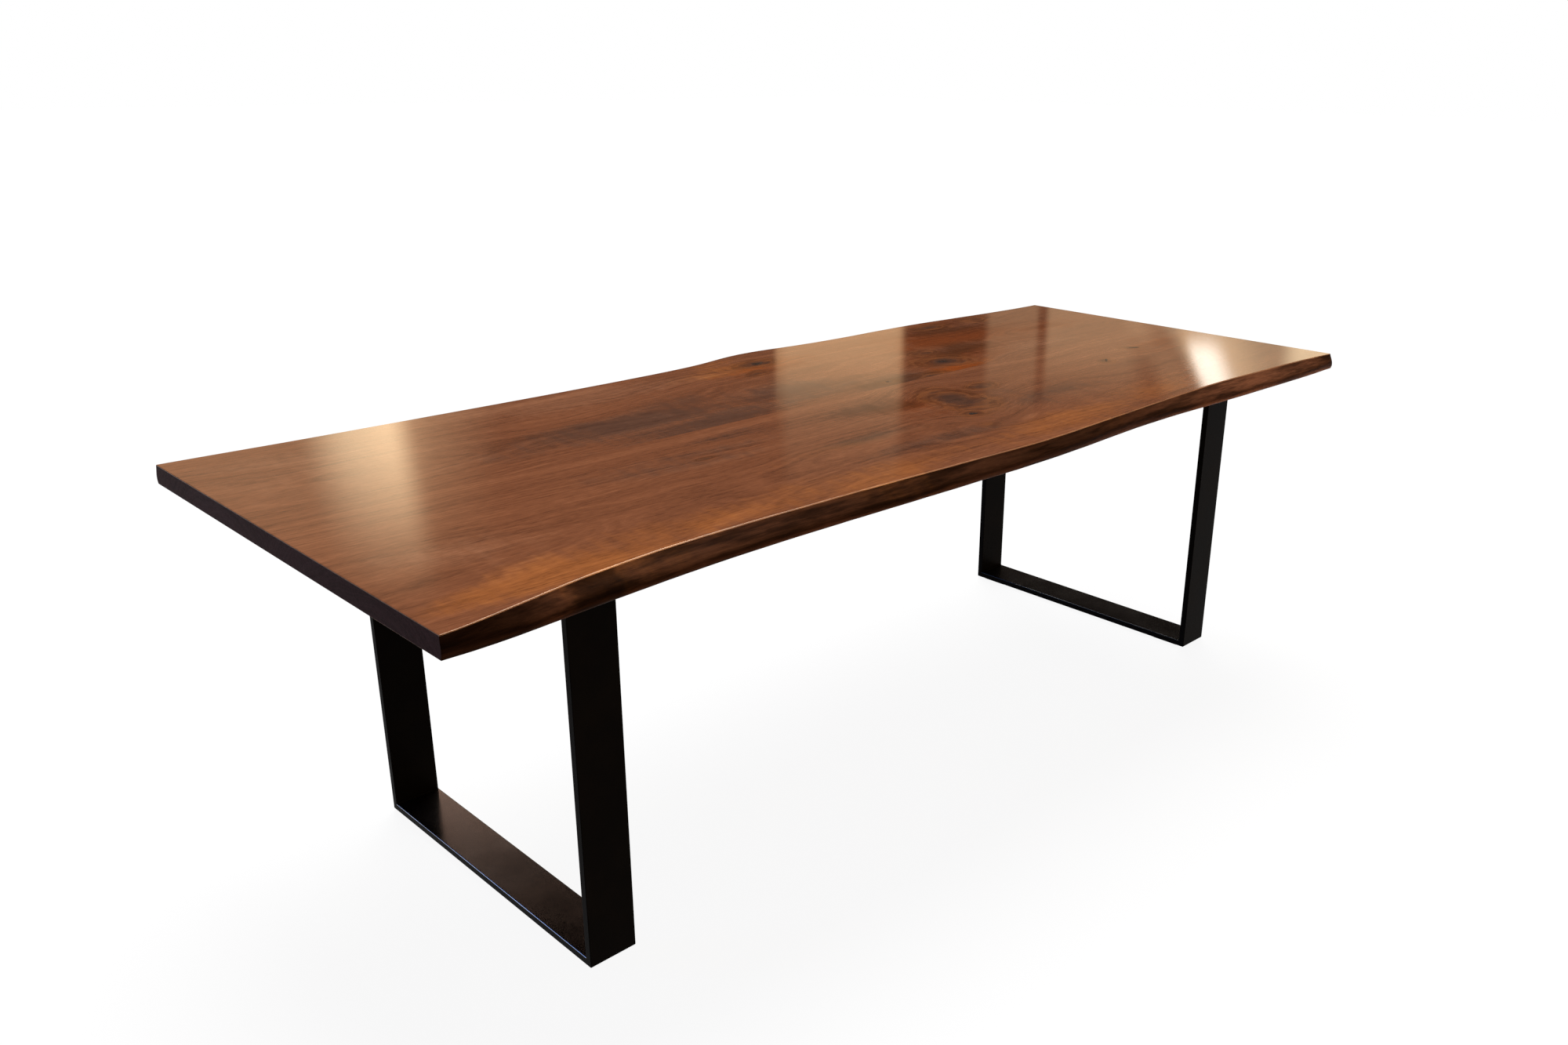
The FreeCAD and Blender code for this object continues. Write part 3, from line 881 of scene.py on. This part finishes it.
def swept_slab(node, side):
    """One slab as a mesh with its five finishes."""
    reach = live_edge_probe(node, side)
    shape = bmesh.new()
    rows = []
    for x, shrink in stations():
        rows.append([shape.verts.new(point) for point in section(reach, side, x, shrink)])
    count = len(rows[0])
    for row, next_row in zip(rows, rows[1:]):
        for n in range(count):
            follow = (n + 1) % count
            face = shape.faces.new((row[n], row[follow], next_row[follow], next_row[n]))
            face.material_index = finish_of_face(n, count)
            face.smooth = 0 < n < count - 2
    for row in (rows[0], rows[-1]):
        shape.faces.new(row).material_index = end_face
    bmesh.ops.recalc_face_normals(shape, faces=shape.faces)
    slab = as_object(shape, f"{node}_wood")
    for finish in slab_finishes(node):
        slab.data.materials.append(finish)
    return slab


slabs = [swept_slab("front_slab", -1), swept_slab("rear_slab", 1)]
for slab in slabs:
    print(f"{slab.name}: {len(slab.data.polygons)} faces")

# %% [markdown]
# ## Pockets for the channels
# Two steel channels are let into the underside to keep the wide top flat. Their backs lie flush with the
# wood, so the slabs need shallow pockets there, or wood and steel would fight for the same face. A
# Boolean modifier is the quick way to cut a few clean pockets into a finished mesh.

# %% Cut the pockets
pocket_gap = 0.0005
pocket_depth = 0.0035


def pocket_cutter(node):
    """A block that is a little larger than a channel's back and starts below the wood."""
    low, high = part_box(node)
    low -= Vector((pocket_gap, pocket_gap, pocket_depth))
    high += Vector((pocket_gap, pocket_gap, 0))
    high.z = underside + pocket_depth
    shape = bmesh.new()
    bmesh.ops.create_cube(shape, size=1)
    bmesh.ops.scale(shape, vec=high - low, verts=shape.verts)
    bmesh.ops.translate(shape, vec=(low + high) / 2, verts=shape.verts)
    return as_object(shape, "pocket_cutter")


def plain_mesh(piece):
    """Applies the piece's modifiers and leaves it with the plain mesh that they give."""
    bpy.context.view_layer.update()
    evaluated = piece.evaluated_get(bpy.context.evaluated_depsgraph_get())
    mesh = bpy.data.meshes.new_from_object(evaluated)
    piece.modifiers.clear()
    piece.data = mesh
    return piece


for node in ("left_stiffener_channel", "right_stiffener_channel"):
    cutter = pocket_cutter(node)
    for slab in slabs:
        cut = slab.modifiers.new("pocket", "BOOLEAN")
        cut.object = cutter
        plain_mesh(slab)
    bpy.data.objects.remove(cutter)
for slab, node in zip(slabs, ("front_slab", "rear_slab")):
    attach(slab, "root")
    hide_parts(node)
    print(f"{slab.name}: {len(slab.data.polygons)} faces with pockets")

# %% [markdown]
# ## Black powder coat
# The leg frames are flat steel bar under a black powder coat. Powder melts into a skin with a faint
# orange peel, so a very fine bump breaks up its sheen. Shoes rub the foot bars, which makes them shinier
# than the posts, and the coat on a foot bar's outer edge is worn through to the steel. The solids already
# have the bar's rounded corners, so they keep their shape and only take the finish.

# %% Mix the powder coat
peel_pace = 1400.0  # how often the orange peel rises in a metre
peel_strength, peel_depth = 0.12, 0.0002
dust_pace = 9.0
dust_low = 0.35  # where the noise starts to count as dust
dust_lift = 1.7  # how much brighter the coat is where dust lies
cloud_low, cloud_high = 0.3, 0.7  # where a cloudy noise counts as all dark and as all bright


def mottled(wires, shader, clouds, dark, bright, roughness, colour_low=cloud_low):
    """Lets the colour and the roughness change from place to place with a cloudy noise."""
    share = wires.span(clouds, colour_low, cloud_high)
    wires.feed(shader.inputs["Base Color"], wires.mix(share, (*dark, 1), (*bright, 1)))
    wires.feed(shader.inputs["Roughness"], wires.span(clouds, cloud_low, cloud_high, *roughness))


def powder_coat(name, colour, roughness, gloss, metal=0.0):
    """Coated steel, or with metal at 1 the bare steel where the coat is gone."""
    finish, wires, shader, place = new_finish(name)
    peel = wires.stretched_noise(place, (peel_pace, peel_pace, peel_pace), 1.0)
    dust = wires.stretched_noise(place, (dust_pace, dust_pace, dust_pace), *cloudy)
    bright = tuple(level * dust_lift for level in colour)
    mottled(wires, shader, dust, colour, bright, (roughness - 0.02, roughness + 0.03), dust_low)
    shader.inputs["Specular IOR Level"].default_value = gloss
    shader.inputs["Metallic"].default_value = metal
    add_bump(wires, shader, peel, peel_strength, peel_depth)
    return finish


black_coat = powder_coat("black_powder_coat", (0.0100, 0.0074, 0.0056), 0.38, 0.012)
rubbed_coat = powder_coat("rubbed_powder_coat", (0.0050, 0.0036, 0.0029), 0.17, 0.30)
bare_edge = powder_coat("worn_bare_edge", (0.32, 0.32, 0.33), 0.22, 0.5, metal=1.0)
print("three coats mixed")

# %% [markdown]
# The posts, the top plates and the channels are black all over. A foot bar takes three coats, and which
# one a face gets depends on where it looks: up, up and outward, or anywhere else.

# %% Coat the steel
leg_sides = ("left", "right")
facing = 0.2  # a face looks up or outward when that part of its normal is larger than this


def coat(node, finish):
    """Gives a node one finish all over."""
    for slot in cad_nodes[node].material_slots:
        slot.material = finish


def rub_top(node, outward):
    """Coats a bar, with the rubbed coat on its upward faces and bare steel on its outer upper edge."""
    coat(node, black_coat)
    mesh = cad_nodes[node].data
    mesh.materials.append(rubbed_coat)
    mesh.materials.append(bare_edge)
    bare = len(mesh.materials) - 1
    for face in mesh.polygons:
        if face.normal.z > facing:
            worn = face.normal.x * outward > facing
            face.material_index = bare if worn else bare - 1


for side, outward in zip(leg_sides, (-1, 1)):
    for piece in ("leg_front_post", "leg_rear_post", "leg_top_plate", "stiffener_channel"):
        coat(f"{side}_{piece}", black_coat)
    rub_top(f"{side}_leg_foot_bar", outward)
print("steel coated")

# %% [markdown]
# ## Welds
# A hand weld is a row of small frozen puddles, each laid half over the last. Modelling one puddle and
# repeating it along the corner is what Geometry Nodes are for: a line becomes a row of points, and each
# point gets a puddle with a little chance in its size. The row is then turned into a plain mesh.

# %% Build the weld tree
weld_size = 0.004
puddle_step = 0.0021
puddle_least = (0.50, 0.90, 0.90)  # a puddle's scale along and across the weld
puddle_most = (0.62, 1.04, 1.04)
puddle_tilt = (0.0, 0.35, 0.0)


def geometry_tree(name, sizes):
    """A Geometry Nodes tree with one geometry in, named sizes, and one geometry out."""
    tree = bpy.data.node_groups.new(name, "GeometryNodeTree")
    tree.interface.new_socket("Geometry", in_out="INPUT", socket_type="NodeSocketGeometry")
    for size in sizes:
        tree.interface.new_socket(size, in_out="INPUT", socket_type="NodeSocketFloat")
    tree.interface.new_socket("Geometry", in_out="OUTPUT", socket_type="NodeSocketGeometry")
    wires = Wiring(tree)
    return tree, wires, wires.add("NodeGroupInput").outputs


def close_tree(wires, instances, finish):
    """Every tree ends in real geometry with its finish on."""
    real = wires.add("GeometryNodeRealizeInstances", {0: instances}).outputs[0]
    real = wires.add("GeometryNodeSetMaterial", {"Geometry": real, "Material": finish}).outputs[0]
    wires.add("NodeGroupOutput", {0: real})


def weld_tree():
    """Puts overlapping puddles along every line."""
    tree, wires, given = geometry_tree("weld_row", ("Step", "Size"))
    line = wires.add("GeometryNodeMeshToCurve", {0: given["Geometry"]}).outputs[0]
    steps = {"Curve": line, "Length": given["Step"]}
    points = wires.add("GeometryNodeResampleCurve", steps, mode="LENGTH").outputs[0]
    sphere = {"Segments": 10, "Rings": 7, "Radius": given["Size"]}
    ball = wires.add("GeometryNodeMeshUVSphere", sphere).outputs[0]
    ball = wires.add("GeometryNodeSetShadeSmooth", {0: ball}).outputs[0]
    limits = {0: puddle_least, 1: puddle_most, "Seed": 4}
    size = wires.add("FunctionNodeRandomValue", limits, data_type="FLOAT_VECTOR").outputs[0]
    inputs = {"Points": points, "Instance": ball, "Scale": size, "Rotation": puddle_tilt}
    row = wires.add("GeometryNodeInstanceOnPoints", inputs).outputs[0]
    close_tree(wires, row, black_coat)
    return tree


weld_row = weld_tree()
print(f"{weld_row.name}: {len(weld_row.nodes)} nodes")

# %% [markdown]
# A tree does nothing by itself. It runs as a modifier on a base mesh, which here is four straight lines,
# one along each inner corner of a leg frame. The tree's sizes are set before it first runs, and its result
# takes the place of the lines.

# %% Lay the welds
def grow(name, base, tree, sizes):
    """Runs a tree on a base mesh and leaves the result as a plain mesh."""
    piece = add_object(name, base)
    modifier = piece.modifiers.new("grow", "NODES")
    modifier.node_group = tree
    for socket in tree.interface.items_tree:
        if socket.in_out == "INPUT" and socket.name in sizes:
            modifier[socket.identifier] = sizes[socket.name]
    return plain_mesh(piece)


def weld_lines(node):
    """The four corners of a leg frame, from one end of each weld to the other."""
    low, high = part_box(node)
    points = []
    for y in (low.y, high.y):
        for z in (low.z, high.z):
            points += [(low.x + weld_size / 2, y, z), (high.x - weld_size / 2, y, z)]
    lines = bpy.data.meshes.new(node)
    lines.from_pydata(points, [(n, n + 1) for n in range(0, len(points), 2)], [])
    return lines


weld_sizes = {"Step": puddle_step, "Size": weld_size}
for side in leg_sides:
    node = f"{side}_leg_welds"
    beads = grow(f"{side}_leg_weld_beads", weld_lines(node), weld_row, weld_sizes)
    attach(beads, "root")
    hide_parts(node)
    print(f"{beads.name}: {len(beads.data.polygons)} faces")

# %% [markdown]
# ## Bolts and screws
# Under the top, button-head bolts hold the legs and smaller screws hold the channels. All heads have the
# same form: a low dome with a hexagon socket. So one head is turned to measure, and Geometry Nodes put a
# copy on every place that the solids give, each turned by chance as a fitter would leave it.

# %% Turn one bolt
dome_steps = 6
bolt_sides = 24
socket_floor, socket_mouth, socket_rim = 0.86, 0.92, 1.15  # as shares of the key's radius
mouth_break = 0.0002  # how far the socket's mouth is broken
head_wall = 0.0004  # the straight rim under the dome
socket_rings = 2  # the first rings of a bolt, which are hexagons
hexagon_spread = 0.9  # makes a hexagon about as wide as a circle of the same radius


def bolt_profile(shank_radius, head_radius, head_height, key_radius, key_depth, shank_length):
    """Radius and height of each ring of a bolt, from its socket's floor, over the head, to its tip."""
    rim = key_radius * socket_rim
    profile = [
        (key_radius * socket_floor, -head_height + key_depth),
        (key_radius * socket_mouth, -head_height + mouth_break),
        (rim, -head_height),
    ]
    for n in range(1, dome_steps + 1):
        angle = math.pi / 2 * n / dome_steps
        radius = rim + (head_radius - rim) * math.sin(angle)
        profile.append((radius, -head_height + (head_height - head_wall) * (1 - math.cos(angle))))
    return profile + [(head_radius, 0.0), (shank_radius, 0.0), (shank_radius, shank_length)]


def hexagon(angle):
    """How far the side of a hexagon is at an angle, next to its corner."""
    return math.cos(math.pi / 6) / math.cos((angle % (math.pi / 3)) - math.pi / 6) / hexagon_spread


def button_bolt(name, sizes):
    """A bolt that points up from z = 0, with its domed head below and a hexagon socket in it."""
    shape = bmesh.new()
    rings = []
    for level, (radius, z) in enumerate(bolt_profile(**sizes)):
        ring = []
        for n in range(bolt_sides):
            angle = 2 * math.pi * n / bolt_sides
            reach = radius * (hexagon(angle) if level < socket_rings else 1.0)
            ring.append(shape.verts.new((reach * math.cos(angle), reach * math.sin(angle), z)))
        rings.append(ring)
    for ring, after in zip(rings, rings[1:]):
        for n in range(bolt_sides):
            follow = (n + 1) % bolt_sides
            shape.faces.new((ring[n], ring[follow], after[follow], after[n])).smooth = True
    shape.faces.new(rings[0])
    shape.faces.new(rings[-1])
    bmesh.ops.recalc_face_normals(shape, faces=shape.faces)
    return as_object(shape, name)


print("bolt pattern ready")

# %% [markdown]
# The bolts' places are read from the solids: each separate solid of a node is one bolt, and the middle of
# its lowest face is the middle of its head.

# %% Find the bolts' places
same_point = 1e-5  # corners of the solids' triangles that are nearer than this are one


def islands(node):
    """The middle of each separate solid in a node, with the solid's lowest point."""
    shape = bmesh.new()
    shape.from_mesh(cad_nodes[node].data)
    bmesh.ops.remove_doubles(shape, verts=shape.verts, dist=same_point)
    waiting = set(shape.verts)
    found = []
    while waiting:
        edge = [waiting.pop()]
        island = list(edge)
        while edge:
            for link in edge.pop().link_edges:
                for vert in link.verts:
                    if vert in waiting:
                        waiting.discard(vert)
                        edge.append(vert)
                        island.append(vert)
        xs, ys, zs = zip(*(vert.co for vert in island))
        found.append(Vector(((min(xs) + max(xs)) / 2, (min(ys) + max(ys)) / 2, min(zs))))
    shape.free()
    return sorted(found, key=lambda spot: (round(spot.x, 4), round(spot.y, 4)))


leg_bolt_nodes = [f"{side}_leg_bolts" for side in leg_sides]
screw_nodes = ["channel_screws"]
bolt_places = {node: islands(node) for node in leg_bolt_nodes + screw_nodes}
for node, places in bolt_places.items():
    print(f"{node}: {len(places)} places")

# %% [markdown]
# The bolts are blackened and the screws are zinc plated. Both finishes are metals: nearly all their look
# is the reflection, so what matters is the roughness, which changes in small patches where oil or
# handling has dulled the plating.

# %% Plate the bolts
dulling = 0.12  # how much rougher the dulled patches are
mark_strength, mark_depth = 0.1, 0.0001


def plated_metal(name, dark, bright, roughness, grain):
    """A metal skin whose colour and shine change in patches, with fine marks along it."""
    finish, wires, shader, place = new_finish(name)
    patches = wires.stretched_noise(place, (grain, grain, grain), *cloudy)
    marks = wires.stretched_noise(place, (grain * 2, grain * 30, grain * 2))
    mottled(wires, shader, patches, dark, bright, (roughness + dulling, roughness))
    shader.inputs["Metallic"].default_value = 1.0
    add_bump(wires, shader, marks, mark_strength, mark_depth)
    return finish


black_steel = plated_metal("black_bolt_steel", (0.018, 0.018, 0.020), (0.045, 0.045, 0.050), 0.34, 300)
zinc_steel = plated_metal("zinc_steel", (0.48, 0.48, 0.46), (0.70, 0.70, 0.67), 0.28, 200)
print("two platings ready")

# %% [markdown]
# Each kind of bolt is turned once and then copied by its own tree. The turned pattern is taken away when
# its copies stand, because it has no place of its own on the table.

# %% Put the bolts in
def bolt_tree(name, bolt, finish):
    """Puts a bolt on every point, turned by chance round its own length."""
    tree, wires, given = geometry_tree(name, ("Scale",))
    pattern = wires.add("GeometryNodeObjectInfo", {"Object": bolt}).outputs["Geometry"]
    points = wires.add("GeometryNodeMeshToPoints", {0: given["Geometry"]}).outputs[0]
    limits = {0: (0, 0, 0), 1: (0, 0, math.pi), "Seed": 9}
    turn = wires.add("FunctionNodeRandomValue", limits, data_type="FLOAT_VECTOR").outputs[0]
    inputs = {"Points": points, "Instance": pattern, "Rotation": turn, "Scale": given["Scale"]}
    row = wires.add("GeometryNodeInstanceOnPoints", inputs).outputs[0]
    close_tree(wires, row, finish)
    return tree


def fit_bolts(name, sizes, nodes, finish):
    """Turns one bolt to its sizes and puts a copy on every place of the nodes."""
    bolt = button_bolt(name, sizes)
    tree = bolt_tree(f"{name}_row", bolt, finish)
    for node in nodes:
        seats = [spot + Vector((0, 0, sizes["head_height"])) for spot in bolt_places[node]]
        base = bpy.data.meshes.new(node)
        base.from_pydata(seats, [], [])
        row = grow(f"{node}_turned", base, tree, {"Scale": 1.0})
        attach(row, "root")
        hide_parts(node)
        print(f"{row.name}: {len(seats)} places, {len(row.data.polygons)} faces")
    bpy.data.objects.remove(bolt)


leg_bolt_sizes = dict(
    shank_radius=0.004,
    head_radius=0.007,
    head_height=0.0044,
    key_radius=0.0029,
    key_depth=0.0026,
    shank_length=0.028,
)
channel_screw_sizes = dict(
    shank_radius=0.003,
    head_radius=0.0055,
    head_height=0.0035,
    key_radius=0.0023,
    key_depth=0.002,
    shank_length=0.017,
)
fit_bolts("leg_bolt", leg_bolt_sizes, leg_bolt_nodes, black_steel)
fit_bolts("channel_screw", channel_screw_sizes, screw_nodes, zinc_steel)

# %% [markdown]
# ## Small finishes
# The rest keeps the shape of its solids: washers, brass inserts, nylon glides under the feet, beech
# tenons in the seam and the black epoxy that fills the knots. Each still gets a finish of its own, because
# a table in a library of parts may be opened up and looked at from inside.

# %% Finish the small parts
stuff_strength, stuff_depth = 0.15, 0.0003


def matte_stuff(name, dark, bright, roughness, stretch, gloss):
    """A plain stuff such as nylon, epoxy or raw wood, with soft streaks or clouds in it."""
    finish, wires, shader, place = new_finish(name)
    clouds = wires.stretched_noise(place, stretch, *cloudy)
    mottled(wires, shader, clouds, dark, bright, (roughness + 0.08, roughness - 0.04))
    shader.inputs["Specular IOR Level"].default_value = gloss
    add_bump(wires, shader, clouds, stuff_strength, stuff_depth)
    return finish


brass = plated_metal("brass", (0.55, 0.36, 0.12), (0.78, 0.56, 0.24), 0.25, 250)
nylon = matte_stuff("black_nylon", (0.008, 0.008, 0.008), (0.02, 0.02, 0.02), 0.55, (180, 180, 180), 0.3)
beech = matte_stuff("beech", (0.45, 0.28, 0.15), (0.66, 0.46, 0.28), 0.6, (240, 12, 240), 0.3)
epoxy = matte_stuff("black_epoxy", (0.020, 0.012, 0.009), (0.06, 0.03, 0.019), 0.14, (70, 110, 90), 0.5)

coat("knot_fills", epoxy)
coat("seam_tenons", beech)
coat("channel_inserts", brass)
coat("channel_washers", zinc_steel)
for side in leg_sides:
    coat(f"{side}_leg_inserts", brass)
    coat(f"{side}_leg_washers", zinc_steel)
    coat(f"{side}_leg_glides", nylon)
print("small parts finished")
